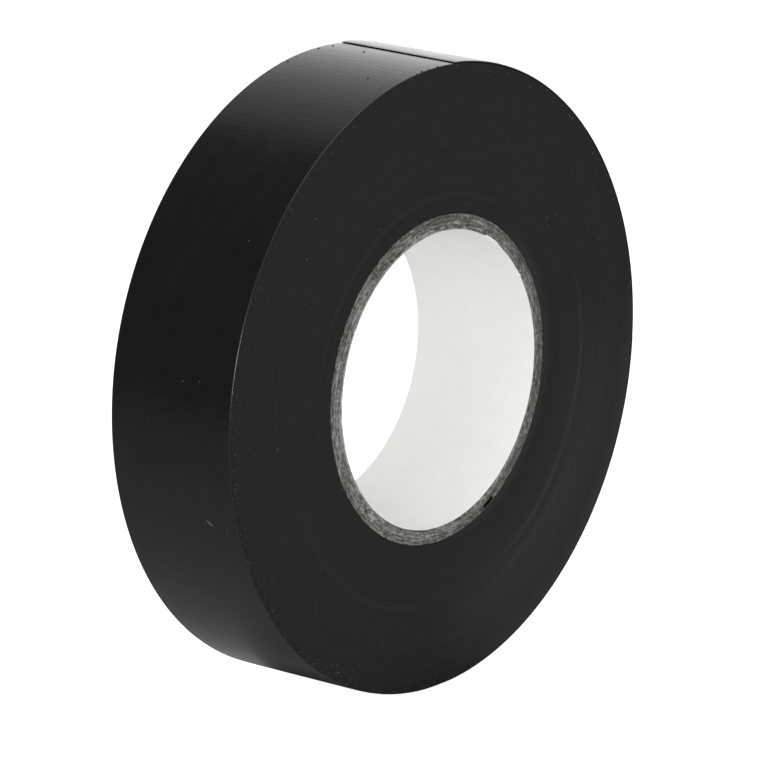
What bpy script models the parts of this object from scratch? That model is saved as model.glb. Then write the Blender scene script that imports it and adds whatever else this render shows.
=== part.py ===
"""Roll of black PVC electrical tape on a spiral-wound board core.

The roll stands on its rim: its axis is along Y, the front side faces -Y, +Z is up and the origin is the
middle of the bore. Angles are measured in the XZ plane from +X towards +Z, which is anticlockwise for
someone who faces the front side.

The core is five wound strips glued on each other: a white liner paper and four plies of grey board, each
with its own helical butt seam. The tape is one strip. Its wound laps are one solid, because they are stuck
to each other, and its free end is a chain of short links, so that it can be peeled off the roll. Each link
is hinged to the one before it on a line across the tape, half way through the tape's thickness.
"""

import math

import bmesh
import bpy
from mathutils import Vector

# ------------------------------------------------------------------ driving dimensions, in millimetres
TAPE_WIDTH = 19.0            # 3/4 inch tape
ROLL_RADIUS = 40.0           # to the top of the tape's free end
TAPE_THICKNESS = 0.18        # PVC backing with its adhesive
TAIL_CLEARANCE = 0.05        # between the loose end and the lap under it
CORE_RADIUS = 20.9           # outside of the board core
BORE_RADIUS = 19.0           # inside of the board core, 1 1/2 inch
LINER_THICKNESS = 0.12       # white liner paper
GLUE_LINE = 0.03             # between two plies, and between the core and the first lap
BOARD_PLIES = 4

STEP_DEG = 3.75              # facets round the roll
CUT_FRONT_DEG = 86.25        # where the tape's cut end lies at the front rim
CUT_BACK_DEG = 83.6          # and at the back rim: the tape was cut a little askew
TAIL_BASE_DEG = -3.75        # where the loose end joins the lap that is still stuck down
TAIL_LINKS = 12
LINK_GAP = 0.08              # between the ends of two links
REST_DEPTH = 39.72           # from the axis down to the flat that the roll stands on
REST_HALF_DEG = 5.39         # half the angle that this flat spans

# Seam of each core strip, from the bore outwards: angle at the front end, width of the gap between the
# strip's edges, and how far the seam turns between the front end and the back end.
SEAMS = (
    (150.0, 0.15, 58.0),
    (52.0, 0.20, 57.0),
    (224.0, 0.20, 56.0),
    (338.0, 0.25, 55.0),
    (-62.5, 1.10, 54.0),
)

MM = 0.001
HALF = TAPE_WIDTH / 2


def remove_everything():
    for obj in list(bpy.data.objects):
        bpy.data.objects.remove(obj, do_unlink=True)


def principled(name, colour, roughness, metallic=0.0, specular=0.5):
    mat = bpy.data.materials.new(name)
    mat.use_nodes = True
    shader = mat.node_tree.nodes["Principled BSDF"]
    shader.inputs["Base Color"].default_value = (*colour, 1.0)
    shader.inputs["Roughness"].default_value = roughness
    shader.inputs["Metallic"].default_value = metallic
    shader.inputs["Specular IOR Level"].default_value = specular
    return mat


def point(radius, deg, y):
    """A point at this radius and angle, in millimetres."""
    a = math.radians(deg)
    return Vector((radius * math.cos(a), y, radius * math.sin(a)))


def new_object(name, verts, faces, mat, origin=Vector((0, 0, 0)), parent=None, parent_origin=None):
    """A closed solid from points in millimetres, with its origin at the point given."""
    bm = bmesh.new()
    made = [bm.verts.new((v - origin) * MM) for v in verts]
    for face in faces:
        bm.faces.new([made[i] for i in face])
    bmesh.ops.recalc_face_normals(bm, faces=bm.faces)
    mesh = bpy.data.meshes.new(name)
    bm.to_mesh(mesh)
    bm.free()
    mesh.materials.append(mat)
    mesh.shade_smooth()
    mesh.set_sharp_from_angle(angle=math.radians(30))
    obj = bpy.data.objects.new(name, mesh)
    bpy.context.scene.collection.objects.link(obj)
    if parent is None:
        obj.location = origin * MM
    else:
        obj.parent = parent
        obj.location = (origin - parent_origin) * MM
    return obj


# ------------------------------------------------------------------ the tape's spiral
def lap_radius(deg):
    """Outer radius of the last lap. It starts at the cut, one tape thickness and the clearance down, and
    rises to ROLL_RADIUS when it is back at the cut after a full turn."""
    turn = (deg - CUT_FRONT_DEG) / 360.0
    start = ROLL_RADIUS - TAPE_THICKNESS - TAIL_CLEARANCE
    base_turn = (360.0 + TAIL_BASE_DEG - CUT_FRONT_DEG) / 360.0
    base = ROLL_RADIUS - TAPE_THICKNESS * (1.0 - base_turn)
    if turn <= base_turn:
        return start + (base - start) * turn / base_turn
    return base + (ROLL_RADIUS - base) * (turn - base_turn) / (1.0 - base_turn)


def roll_outline():
    """The wound roll's outline as (angle, radius), anticlockwise from the cut. Under the loose end it runs
    one tape thickness and the clearance further in. At the bottom it has the flat that the roll rests on."""
    outline = []
    base = 360.0 + TAIL_BASE_DEG
    flat_from, flat_to = 270.0 - REST_HALF_DEG, 270.0 + REST_HALF_DEG
    first = round(CUT_FRONT_DEG / STEP_DEG)
    last = round(base / STEP_DEG)
    for i in range(first, last + 1):
        deg = i * STEP_DEG
        if flat_from < deg < flat_to:
            continue
        if outline and outline[-1][0] < flat_from < deg:
            for end in (flat_from, flat_to):
                outline.append((end, REST_DEPTH / math.cos(math.radians(REST_HALF_DEG))))
        outline.append((deg, lap_radius(deg)))
    step = TAPE_THICKNESS + TAIL_CLEARANCE
    for i in range(last, first + round(360.0 / STEP_DEG)):
        deg = i * STEP_DEG
        outline.append((deg, lap_radius(deg) - step))
    return outline


def core_angles():
    """Corners of every ring of the core, half a facet on from the roll's own corners."""
    return [(i + 0.5) * STEP_DEG for i in range(round(360.0 / STEP_DEG))]


def zip_rings(outer, inner):
    """Triangles between two rings of (angle, index), each in order over one turn."""
    start = outer[0][0]
    inner = sorted(((a - start) % 360.0 + start, i) for a, i in inner)
    outer = outer + [(outer[0][0] + 360.0, outer[0][1])]
    inner = inner + [(inner[0][0] + 360.0, inner[0][1])]
    faces, a, b = [], 0, 0
    faces_left = len(outer) + len(inner) - 2
    while len(faces) < faces_left:
        more_outer = a + 1 < len(outer)
        more_inner = b + 1 < len(inner)
        if more_outer and (not more_inner or outer[a + 1][0] <= inner[b + 1][0]):
            faces.append((outer[a][1], outer[a + 1][1], inner[b][1]))
            a += 1
        else:
            faces.append((outer[a][1], inner[b + 1][1], inner[b][1]))
            b += 1
    return faces


def wound_laps(mat):
    outline = roll_outline()
    bore = [(a, CORE_RADIUS + GLUE_LINE) for a in core_angles()]
    rings = [(outline, -HALF), (outline, HALF), (bore, -HALF), (bore, HALF)]
    verts, index = [], []
    for ring, y in rings:
        index.append(list(range(len(verts), len(verts) + len(ring))))
        verts += [point(radius, deg, y) for deg, radius in ring]
    faces = []
    for front, back in ((0, 1), (2, 3)):
        n = len(index[front])
        for i in range(n):
            j = (i + 1) % n
            faces.append((index[front][i], index[front][j], index[back][j], index[back][i]))
    for outer, inner in ((0, 2), (1, 3)):
        faces += zip_rings(
            [(deg, i) for (deg, _), i in zip(outline, index[outer])],
            [(deg, i) for (deg, _), i in zip(bore, index[inner])],
        )
    return new_object("tape_wound_laps", verts, faces, mat)


# ------------------------------------------------------------------ the loose end
def tail_hinge(k):
    """Where link k turns: across the tape, half way through its thickness."""
    deg = TAIL_BASE_DEG + k * (CUT_FRONT_DEG - TAIL_BASE_DEG) / TAIL_LINKS
    return point(lap_radius(deg + 360.0) - TAPE_THICKNESS / 2, deg, 0.0)


def on_facet(radius_of, deg, y):
    """The point at this angle on the flat facet that holds it."""
    low = math.floor(deg / STEP_DEG + 1e-9) * STEP_DEG
    share = (deg - low) / STEP_DEG
    if share < 1e-9:
        return point(radius_of(low), low, y)
    return point(radius_of(low), low, y).lerp(point(radius_of(low + STEP_DEG), low + STEP_DEG, y), share)


def tail_link(k, mat, parent):
    span = (CUT_FRONT_DEG - TAIL_BASE_DEG) / TAIL_LINKS
    low = TAIL_BASE_DEG + k * span
    gap = math.degrees(LINK_GAP / 2 / ROLL_RADIUS)
    corners = round(span / STEP_DEG)
    start = low + gap
    inside = [low + i * STEP_DEG for i in range(1, corners)]
    end_front = end_back = low + span - gap
    if k == TAIL_LINKS - 1:
        end_front, end_back = CUT_FRONT_DEG, CUT_BACK_DEG

    def outer(deg):
        return lap_radius(deg + 360.0)

    def inner(deg):
        return lap_radius(deg + 360.0) - TAPE_THICKNESS

    verts, n = [], len(inside) + 2
    for radius_of in (outer, inner):
        for y, end in ((-HALF, end_front), (HALF, end_back)):
            verts += [on_facet(radius_of, deg, y) for deg in [start, *inside, end]]
    of, ob, nf, nb = 0, n, 2 * n, 3 * n
    faces = []
    for i in range(n - 1):
        faces.append((of + i, of + i + 1, ob + i + 1, ob + i))
        faces.append((nf + i, nb + i, nb + i + 1, nf + i + 1))
        faces.append((of + i, nf + i, nf + i + 1, of + i + 1))
        faces.append((ob + i, ob + i + 1, nb + i + 1, nb + i))
    faces.append((of, ob, nb, nf))
    faces.append((of + n - 1, nf + n - 1, nb + n - 1, ob + n - 1))
    origin = tail_hinge(k)
    parent_origin = tail_hinge(k - 1) if parent else None
    return new_object(f"tape_tail_{k + 1:02d}", verts, faces, mat, origin, parent, parent_origin)


# ------------------------------------------------------------------ the core's strips
def clipped(polygon, inside):
    """A polygon of (angle, y) cut by a line. inside gives the signed distance to keep."""
    kept = []
    for p, q in zip(polygon, polygon[1:] + polygon[:1]):
        dp, dq = inside(p), inside(q)
        if dp >= 0:
            kept.append(p)
        if (dp > 0 > dq) or (dp < 0 < dq):
            t = dp / (dp - dq)
            kept.append((p[0] + t * (q[0] - p[0]), p[1] + t * (q[1] - p[1])))
    return kept


def core_strip(name, inner_radius, outer_radius, seam, mat):
    """A tube made of one strip wound on a helix, with a thin gap where the strip's edges meet."""
    seam_deg, seam_gap, turn = seam
    half_gap = math.degrees(seam_gap / 2 / outer_radius)
    slope = TAPE_WIDTH / turn
    angles = core_angles()
    seam_deg = (seam_deg - angles[0]) % 360.0 + angles[0]

    def above(p):
        return p[1] - (-HALF + (p[0] - (seam_deg - half_gap)) * slope)

    def below(p):
        return (-HALF + (p[0] - (seam_deg + half_gap)) * slope) - p[1]

    verts, index, faces, wall = [], {}, [], {}

    def corner(deg, y, low):
        key = (round(deg % 360.0, 6), round(y, 6))
        if key not in index:
            index[key] = len(verts)
            share = (deg - low) / STEP_DEG
            for radius in (outer_radius, inner_radius):
                verts.append(point(radius, low, y).lerp(point(radius, low + STEP_DEG, y), share))
        return index[key]

    for turn_no in (0, 1):
        for low in angles:
            low += 360.0 * turn_no
            high = low + STEP_DEG
            cut = high > seam_deg - half_gap and low < seam_deg + half_gap + turn
            uncut = turn_no == 0 and not (
                low + 360.0 < seam_deg + half_gap + turn and high + 360.0 > seam_deg - half_gap
            )
            box = [(low, -HALF), (high, -HALF), (high, HALF), (low, HALF)]
            if cut:
                pieces = [clipped(box, above), clipped(box, below)]
            elif uncut:
                pieces = [box]
            else:
                continue
            for piece in pieces:
                ids = []
                for deg, y in piece:
                    i = corner(deg, y, low)
                    if i not in ids:
                        ids.append(i)
                if len(ids) < 3:
                    continue
                faces.append(list(ids))
                faces.append([i + 1 for i in reversed(ids)])
                for i, j in zip(ids, ids[1:] + ids[:1]):
                    if (j, i) in wall:
                        del wall[(j, i)]
                    else:
                        wall[(i, j)] = True
    for i, j in wall:
        faces.append((j, i, i + 1))
        faces.append((j, i + 1, j + 1))
    return new_object(name, verts, faces, mat)


def core(liner_mat, board_mats):
    radius = BORE_RADIUS
    core_strip("core_liner", radius, radius + LINER_THICKNESS, SEAMS[0], liner_mat)
    radius += LINER_THICKNESS
    ply = (CORE_RADIUS - radius) / BOARD_PLIES - GLUE_LINE
    for n in range(BOARD_PLIES):
        radius += GLUE_LINE
        core_strip(f"core_ply_{n + 1}", radius, radius + ply, SEAMS[n + 1], board_mats[n])
        radius += ply


def main():
    remove_everything()
    pvc = principled("black_pvc_film", (0.012, 0.012, 0.013), 0.28)
    core(
        principled("white_liner_paper", (0.76, 0.76, 0.75), 0.75, specular=0.3),
        [
            principled(f"grey_board_{n + 1}", (tone, tone, tone * 0.98), 0.9, specular=0.2)
            for n, tone in enumerate((0.17, 0.13, 0.16, 0.14))
        ],
    )
    wound_laps(pvc)
    parent = None
    for k in range(TAIL_LINKS):
        parent = tail_link(k, pvc, parent)


main()
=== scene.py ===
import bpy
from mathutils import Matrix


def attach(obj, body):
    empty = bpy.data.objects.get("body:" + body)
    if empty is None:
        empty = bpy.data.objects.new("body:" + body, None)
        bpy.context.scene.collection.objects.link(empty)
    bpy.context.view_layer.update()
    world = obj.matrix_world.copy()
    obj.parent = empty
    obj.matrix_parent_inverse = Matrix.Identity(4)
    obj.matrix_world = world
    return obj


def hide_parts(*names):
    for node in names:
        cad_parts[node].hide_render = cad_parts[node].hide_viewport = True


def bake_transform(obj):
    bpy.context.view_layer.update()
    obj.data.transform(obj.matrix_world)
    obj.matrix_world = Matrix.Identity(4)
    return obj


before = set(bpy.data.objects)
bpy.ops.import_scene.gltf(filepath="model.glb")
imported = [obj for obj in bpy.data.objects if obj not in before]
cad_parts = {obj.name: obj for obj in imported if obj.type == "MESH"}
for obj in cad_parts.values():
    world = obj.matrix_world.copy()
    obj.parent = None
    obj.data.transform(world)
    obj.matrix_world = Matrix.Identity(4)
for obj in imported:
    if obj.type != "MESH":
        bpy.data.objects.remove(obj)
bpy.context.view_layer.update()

import math

import bpy
import numpy as np
from mathutils import Vector

# A roll of black vinyl electrical tape standing on its rim, with a free end that peels.
# Lengths below are in millimetres and turned into metres when a mesh is made.
# The roll's axis is Y, its front side faces -Y, and an angle runs from +X towards +Z.

MM = 0.001
WIDTH = 19.0
HALF = WIDTH / 2
ROLL_RADIUS = 40.0
PITCH = 0.18                  # one lap of tape
TIP_CLEARANCE = 0.05
CORE_RADIUS = 20.9
BORE_RADIUS = 19.0
LINER = 0.12
GLUE = 0.03
PLIES = 4
CUT_FRONT = 86.25
CUT_BACK = 83.6
SEEN_FRONT = 85.45            # where the cut edge of the film really lies; the solid ends at the two angles above
SEEN_BACK = 84.2
BASE = -3.75                  # where the free end leaves the wound body
LINKS = 12
LINK_DEG = 7.5
REST_DEPTH = 39.86            # the rim is pressed flat this far below the axis; the solid's own flat is at 39.72
FILM_INSET = 0.006            # keeps the film inside the faceted solids' box
SEAMS = [(150.0, 0.15, 58.0), (52.0, 0.20, 57.0), (224.0, 0.20, 56.0), (338.0, 0.25, 55.0), (-61.3, 2.00, 54.0)]
SKIN_SEAM = (-84.0, 0.10, 54.0)
SKIN = 0.15                   # share of the outer ply that closes over its open seam


# ---------------------------------------------------------------- noise

def _lattice(ix, iy, iz, seed):
    h = (ix * 374761393 + iy * 668265263 + iz * 1440662683 + seed * 1274126177) & 0xFFFFFFFF
    h = ((h ^ (h >> 13)) * 1103515245) & 0xFFFFFFFF
    h = ((h ^ (h >> 15)) * 668265263) & 0xFFFFFFFF
    h = h ^ (h >> 16)
    return (h & 0xFFFFFF) / float(0x7FFFFF) - 1.0


def noise(x, y=0.0, z=0.0, seed=0):
    """Smooth value noise from -1 to 1 on arrays."""
    x, y, z = np.broadcast_arrays(np.asarray(x, float), np.asarray(y, float), np.asarray(z, float))
    fx, fy, fz = np.floor(x), np.floor(y), np.floor(z)
    ix, iy, iz = fx.astype(np.int64), fy.astype(np.int64), fz.astype(np.int64)
    u, v, w = x - fx, y - fy, z - fz
    u, v, w = (t * t * (3 - 2 * t) for t in (u, v, w))
    total = 0.0
    for a in (0, 1):
        for b in (0, 1):
            for c in (0, 1):
                k = (u if a else 1 - u) * (v if b else 1 - v) * (w if c else 1 - w)
                total = total + k * _lattice(ix + a, iy + b, iz + c, seed)
    return total


def layered(x, y=0.0, z=0.0, seed=0, octaves=3, gain=0.5):
    total, amp, norm = 0.0, 1.0, 0.0
    for o in range(octaves):
        f = 2.03 ** o
        total = total + amp * noise(np.asarray(x) * f, np.asarray(y) * f, np.asarray(z) * f, seed + 17 * o)
        norm += amp
        amp *= gain
    return total / norm


def smooth(t):
    t = np.clip(t, 0.0, 1.0)
    return t * t * (3 - 2 * t)


# ---------------------------------------------------------------- the wound spiral
# phi is the angle along the tape: the outside runs from BASE to BASE + 360 on the wound body,
# and the free end goes on from there to the cut, 90 degrees further.

def lap_radius(phi):
    """Outside of the last lap, phi from the cut round to the cut again."""
    turn = (phi - CUT_FRONT) / 360.0
    start = ROLL_RADIUS - PITCH - TIP_CLEARANCE
    base_turn = (360.0 + BASE - CUT_FRONT) / 360.0
    base = ROLL_RADIUS - PITCH * (1.0 - base_turn)
    return np.where(turn <= base_turn, start + (base - start) * turn / base_turn,
                    base + (ROLL_RADIUS - base) * (turn - base_turn) / (1.0 - base_turn))


BODY_START = float(lap_radius(360.0 + BASE)) - PITCH - 0.02      # the body's top just under the free end's root


def spiral(turn):
    """Radius of the boundary between laps; turn 0 is the body's top at BASE, rising outwards."""
    return BODY_START + PITCH * turn


def body_radius(phi):
    """Outside of the wound body, phi from BASE to BASE + 360, before it is pressed flat on the floor."""
    painted_contact_shadow = spiral((phi - BASE) / 360.0)
    drop = -0.006 * smooth((phi - 68.0) / (CUT_FRONT - 68.0))
    lift = 0.036 * (1.0 - smooth((phi - CUT_FRONT) / 25.0))
    return np.where(phi >= CUT_FRONT, lap_radius(phi) + lift, painted_contact_shadow - drop)


def flat_depth(radius, phi):
    """How much the floor presses in a rim of this radius."""
    away = np.radians(((phi + 90.0 + 180.0) % 360.0) - 180.0)
    limit = REST_DEPTH / np.maximum(np.cos(away), 0.3)
    k = 0.03
    low = np.minimum(radius, limit)
    soft = low - k * np.log1p(np.exp(-np.abs(radius - limit) / k))
    depth = radius - soft
    return depth * (1.0 - smooth((np.abs(np.degrees(away)) - 9.0) / 6.0))


def ripple(phi, y):
    """Shallow waves that winding tension leaves in the film, always inwards."""
    arc = phi * (math.pi / 180.0) * 39.9
    broad = layered(arc / 9.0, y / 7.0, 0.0, seed=3, octaves=2)
    lines = noise(arc / 2.6, y / 14.0, 5.0, seed=9)
    fine = noise(arc / 1.2, y / 1.4, 2.0, seed=21)
    curl = smooth((np.abs(y) - 7.6) / 2.0)
    edge = noise(arc / 5.0, np.sign(y) * 3.0, 8.0, seed=31)
    return 0.016 + 0.0105 * broad + 0.0028 * lines + 0.0004 * fine + curl * (0.014 + 0.010 * edge)


def thinned(phi, y):
    """The cut end, drawn a little thinner where it was torn off and pressed down."""
    cut = 360.0 + SEEN_FRONT + (SEEN_BACK - SEEN_FRONT) * (y + HALF) / WIDTH
    return 0.070 * np.exp(-np.maximum(0.0, cut - phi) / 0.45)


def film_point(phi, y, tail):
    """A point on the outside of the film, on the free end if tail is true, else on the wound body."""
    base = lap_radius(phi) if tail else body_radius(phi)
    r = base - FILM_INSET - ripple(phi, y)
    r = r - (thinned(phi, y) if tail else flat_depth(r, phi))
    a = np.radians(phi)
    return np.stack([r * np.cos(a), np.broadcast_to(y, r.shape), r * np.sin(a)], -1)


def film_normal(phi, y, tail):
    h = 0.12
    dphi = math.degrees(h / 40.0)
    du = film_point(phi + dphi, y, tail) - film_point(phi - dphi, y, tail)
    dv = film_point(phi, y + h, tail) - film_point(phi, y - h, tail)
    n = np.cross(dv, du)
    n /= np.linalg.norm(n, axis=-1, keepdims=True)
    a = np.radians(phi)
    outward = n[..., 0] * np.cos(a) + n[..., 2] * np.sin(a)
    return n * np.sign(outward)[..., None]


def edge_recess(turn):
    """How far a lap's slit edge lies in from the widest lap; it wanders slowly along the tape."""
    slow = noise(turn / 11.0, 1.5, 0.0, seed=41)
    mid = noise(turn / 3.1, 4.5, 0.0, seed=43)
    quick = noise(turn * 1.37, 7.5, 0.0, seed=47)
    band = smooth((noise(turn / 17.0, 9.5, 0.0, seed=53) - 0.35) / 0.2)
    return 0.030 + 0.016 * slow + 0.007 * mid + 0.0035 * quick + 0.010 * band


def proud(r, phi):
    """Laps that stand a little proud of their neighbours for part of a turn."""
    def window(centre, half):
        away = np.abs(((phi - centre + 180.0) % 360.0) - 180.0)
        return smooth((half - away) / 18.0)
    return (0.015 * np.exp(-((r - 28.9) / 0.42) ** 2) * window(-22.0, 42.0)
            + 0.008 * np.exp(-((r - 29.1) / 0.45) ** 2) * window(-124.0, 30.0)
            + 0.010 * np.exp(-((r - 30.8) / 0.6) ** 2) * window(-55.0, 36.0)
            + 0.014 * np.exp(-((r - 23.4) / 0.3) ** 2) * window(110.0, 60.0))


FILM_ROWS = [-9.3, -9.1, -8.7, -8.2, -7.5, -6.7, -5.8, -4.9, -3.9, -2.9, -1.9, -0.95, 0.0,
             0.95, 1.9, 2.9, 3.9, 4.9, 5.8, 6.7, 7.5, 8.2, 8.7, 9.1, 9.3]
ROUND = 0.17                  # radius of the corner between the film and the slit edge
CORNER = [(0.0, 1.0), (1 - math.cos(math.pi / 8), 1 - math.sin(math.pi / 8)), (1 - math.cos(math.pi / 4), 1 - math.sin(math.pi / 4)),
          (1 - math.cos(3 * math.pi / 8), 1 - math.sin(3 * math.pi / 8))]     # (drop, inset) shares round the corner


class Builder:
    """Collects vertices, faces, materials, per-corner normals and a tape-length UV map."""

    def __init__(self):
        self.v, self.f, self.m, self.n, self.uv = [], [], [], [], []

    def add(self, points):
        start = len(self.v)
        self.v.extend(np.asarray(points, float).reshape(-1, 3).tolist())
        return start

    def face(self, ids, mat=0, normals=None, uvs=None):
        self.f.append(list(ids))
        self.m.append(mat)
        self.n.append(normals)
        self.uv.append(uvs)

    def make(self, name, materials, flat_angle=None, uv_default=None):
        mesh = bpy.data.meshes.new(name)
        mesh.from_pydata([tuple(c * MM for c in p) for p in self.v], [], self.f)
        mesh.update()
        for mat in materials:
            mesh.materials.append(mat)
        mesh.polygons.foreach_set("material_index", self.m)
        mesh.shade_smooth()
        if flat_angle:
            mesh.set_sharp_from_angle(angle=math.radians(flat_angle))
        layer = mesh.uv_layers.new(name="tape")
        flat = []
        for ids, uvs in zip(self.f, self.uv):
            if uvs is not None:
                flat.extend(uvs)
            else:
                flat.extend((uv_default(self.v[i]) if uv_default else (0.0, 0.0)) for i in ids)
        layer.data.foreach_set("uv", np.array(flat, np.float32).ravel())
        if any(n is not None for n in self.n):
            loops = []
            for ids, ns in zip(self.f, self.n):
                loops.extend([tuple(n) for n in ns] if ns is not None else [(0.0, 0.0, 0.0)] * len(ids))
            mesh.normals_split_custom_set(loops)
        mesh.validate(verbose=False)
        obj = bpy.data.objects.new(name, mesh)
        bpy.context.scene.collection.objects.link(obj)
        return obj


def arc_uv(phi, y):
    return (phi * (math.pi / 180.0) * 39.9, y)


# ---------------------------------------------------------------- materials

def material(name):
    mat = bpy.data.materials.new(name)
    mat.use_nodes = True
    nodes, links = mat.node_tree.nodes, mat.node_tree.links
    nodes.clear()
    out = nodes.new("ShaderNodeOutputMaterial")
    bsdf = nodes.new("ShaderNodeBsdfPrincipled")
    links.new(bsdf.outputs[0], out.inputs[0])
    return mat, nodes, links, bsdf


def node(nodes, kind, **values):
    n = nodes.new(kind)
    for k, v in values.items():
        if hasattr(n, k) and k not in ("inputs",):
            setattr(n, k, v)
    return n


def math_node(nodes, links, op, a, b=None, c=None, clamp=False):
    n = nodes.new("ShaderNodeMath")
    n.operation = op
    n.use_clamp = clamp
    for i, value in enumerate((a, b, c)):
        if value is None:
            continue
        if isinstance(value, (int, float)):
            n.inputs[i].default_value = value
        else:
            links.new(value, n.inputs[i])
    return n.outputs[0]


def noise_node(nodes, links, vector, scale, detail=2.0, rough=0.5, distortion=0.0):
    n = nodes.new("ShaderNodeTexNoise")
    n.inputs["Scale"].default_value = scale
    n.inputs["Detail"].default_value = detail
    n.inputs["Roughness"].default_value = rough
    n.inputs["Distortion"].default_value = distortion
    links.new(vector, n.inputs["Vector"])
    return n.outputs["Fac"] if "Fac" in n.outputs else n.outputs[0]


def ramp(nodes, links, value, stops, interpolation="LINEAR"):
    n = nodes.new("ShaderNodeValToRGB")
    n.color_ramp.interpolation = interpolation
    while len(n.color_ramp.elements) < len(stops):
        n.color_ramp.elements.new(0.5)
    for e, (pos, col) in zip(n.color_ramp.elements, stops):
        e.position = pos
        e.color = (*col, 1.0) if hasattr(col, "__len__") else (col, col, col, 1.0)
    links.new(value, n.inputs[0])
    return n.outputs[0]


def map_range(nodes, links, value, lo, hi, to_lo, to_hi, kind="LINEAR"):
    n = nodes.new("ShaderNodeMapRange")
    n.interpolation_type = kind
    n.inputs["From Min"].default_value = lo
    n.inputs["From Max"].default_value = hi
    n.inputs["To Min"].default_value = to_lo
    n.inputs["To Max"].default_value = to_hi
    links.new(value, n.inputs["Value"])
    return n.outputs[0]


def mix_color(nodes, links, fac, a, b):
    n = nodes.new("ShaderNodeMix")
    n.data_type = "RGBA"
    if isinstance(fac, (int, float)):
        n.inputs[0].default_value = fac
    else:
        links.new(fac, n.inputs[0])
    for socket, value in ((n.inputs[6], a), (n.inputs[7], b)):
        if hasattr(value, "__len__"):
            socket.default_value = (*value, 1.0)
        else:
            links.new(value, socket)
    return n.outputs[2]


def bump(nodes, links, height, distance, strength=1.0, normal=None):
    n = nodes.new("ShaderNodeBump")
    n.inputs["Strength"].default_value = strength
    n.inputs["Distance"].default_value = distance
    links.new(height, n.inputs["Height"])
    if normal is not None:
        links.new(normal, n.inputs["Normal"])
    return n.outputs[0]


def object_mm(nodes, links):
    """Object coordinates in millimetres: vector, x, y, z."""
    tc = nodes.new("ShaderNodeTexCoord")
    scale = nodes.new("ShaderNodeVectorMath")
    scale.operation = "SCALE"
    scale.inputs["Scale"].default_value = 1000.0
    links.new(tc.outputs["Object"], scale.inputs[0])
    sep = nodes.new("ShaderNodeSeparateXYZ")
    links.new(scale.outputs[0], sep.inputs[0])
    return scale.outputs[0], sep.outputs[0], sep.outputs[1], sep.outputs[2]


def uv_mm(nodes, links):
    uv = nodes.new("ShaderNodeUVMap")
    uv.uv_map = "tape"
    return uv.outputs[0]


def stretched(nodes, links, vector, x, y, z):
    n = nodes.new("ShaderNodeVectorMath")
    n.operation = "MULTIPLY"
    n.inputs[1].default_value = (x, y, z)
    links.new(vector, n.inputs[0])
    return n.outputs[0]


def radial(nodes, links, x, z):
    """Distance from the roll's axis, in millimetres, and the unit direction."""
    xx = math_node(nodes, links, "MULTIPLY", x, x)
    r = math_node(nodes, links, "SQRT", math_node(nodes, links, "MULTIPLY_ADD", z, z, xx))
    return r, math_node(nodes, links, "DIVIDE", x, r), math_node(nodes, links, "DIVIDE", z, r)


def combine(nodes, links, x, y, z):
    n = nodes.new("ShaderNodeCombineXYZ")
    for i, v in enumerate((x, y, z)):
        if isinstance(v, (int, float)):
            n.inputs[i].default_value = v
        else:
            links.new(v, n.inputs[i])
    return n.outputs[0]


def ring_vector(nodes, links, x, y, z, along, across, deep=0.0):
    """A vector whose noise is drawn out round the ring: along and across are features per millimetre at 20 mm radius."""
    r, cx, cz = radial(nodes, links, x, z)
    ax = math_node(nodes, links, "MULTIPLY", cx, 20.0 * along)
    az = math_node(nodes, links, "MULTIPLY", cz, 20.0 * along)
    rr = math_node(nodes, links, "MULTIPLY", r, across)
    if deep:
        rr = math_node(nodes, links, "MULTIPLY_ADD", y, deep, rr)
    return combine(nodes, links, ax, rr, az), r


def specks(nodes, links, vector, scale, size, share, stretch=None):
    """Small round flecks: 1 inside a fleck. scale is cells per millimetre, size in cells, share of the cells that have one."""
    if stretch:
        vector = stretched(nodes, links, vector, *stretch)
    n = nodes.new("ShaderNodeTexVoronoi")
    n.feature = "F1"
    n.inputs["Scale"].default_value = scale
    n.inputs["Randomness"].default_value = 1.0
    links.new(vector, n.inputs["Vector"])
    sep = nodes.new("ShaderNodeSeparateColor")
    links.new(n.outputs["Color"], sep.inputs[0])
    there = math_node(nodes, links, "GREATER_THAN", sep.outputs[0], 1.0 - share)
    radius = math_node(nodes, links, "MULTIPLY", sep.outputs[1], size)
    near = math_node(nodes, links, "LESS_THAN", n.outputs["Distance"], radius)
    return math_node(nodes, links, "MULTIPLY", there, near)


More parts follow.
